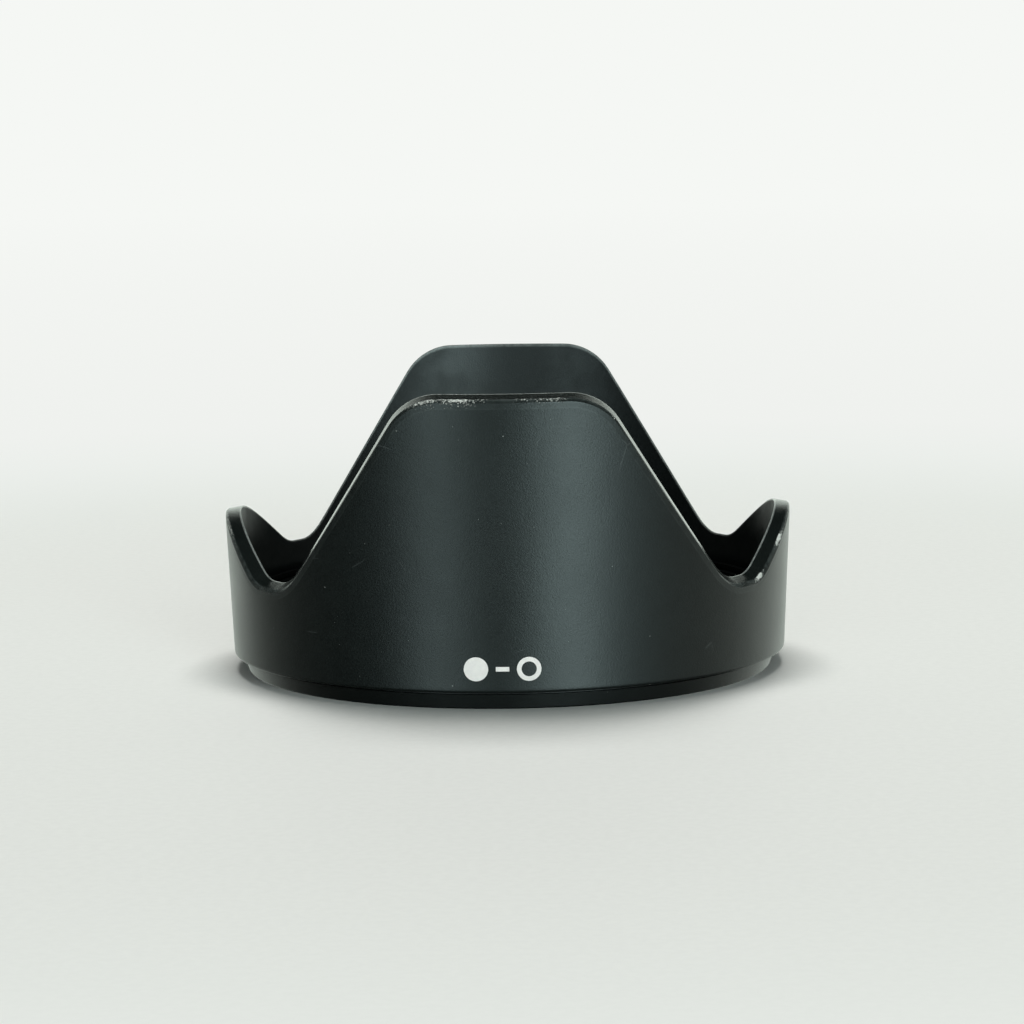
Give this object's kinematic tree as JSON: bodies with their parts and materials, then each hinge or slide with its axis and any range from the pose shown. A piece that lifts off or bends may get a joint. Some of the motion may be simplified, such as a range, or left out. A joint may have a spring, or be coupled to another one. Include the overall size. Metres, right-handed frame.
{
  "type": "petal lens hood",
  "caption": "Petal-shaped bayonet lens hood: thin conical shell with notched rim, recessed mount ring with inward lugs, click springs and countersunk screws.",
  "frame": {"origin": "centre of the bayonet end's base circle, on the surface the hood stands on", "axes": "+Z along the light axis towards the petals; the two tall petals are on -Y and +Y, the two short ones on -X and +X; the printed mark is on -Y"},
  "size_m": [0.0716, 0.0732, 0.0378],
  "materials": {
    "shell_plastic": "satin black moulded plastic with a fine spark-eroded texture",
    "ring_plastic": "matt black moulded plastic",
    "spring_metal": "rolled spring bronze",
    "screw_metal": "zinc-plated steel",
    "white_ink": "thin matt white pad-printed ink"
  },
  "bodies": {
    "hood": {"petal_shell": "shell_plastic", "mount_ring": "ring_plastic", "ring_screws": "screw_metal", "index_mark": "white_ink"},
    "spring_a": {"detent_spring_a": "spring_metal"},
    "spring_b": {"detent_spring_b": "spring_metal"}
  },
  "joints": [
    {"name": "spring_a_flex", "type": "hinge", "parent": "hood", "child": "spring_a", "pos_m": [0.0309, 0.01004, 0.005], "axis": [0, 0, -1], "range_deg": [0, 1.9], "stiffness_Nm_per_rad": 0.3},
    {"name": "spring_b_flex", "type": "hinge", "parent": "hood", "child": "spring_b", "pos_m": [-0.02415, 0.02174, 0.005], "axis": [0, 0, -1], "range_deg": [0, 1.9], "stiffness_Nm_per_rad": 0.3}
  ]
}
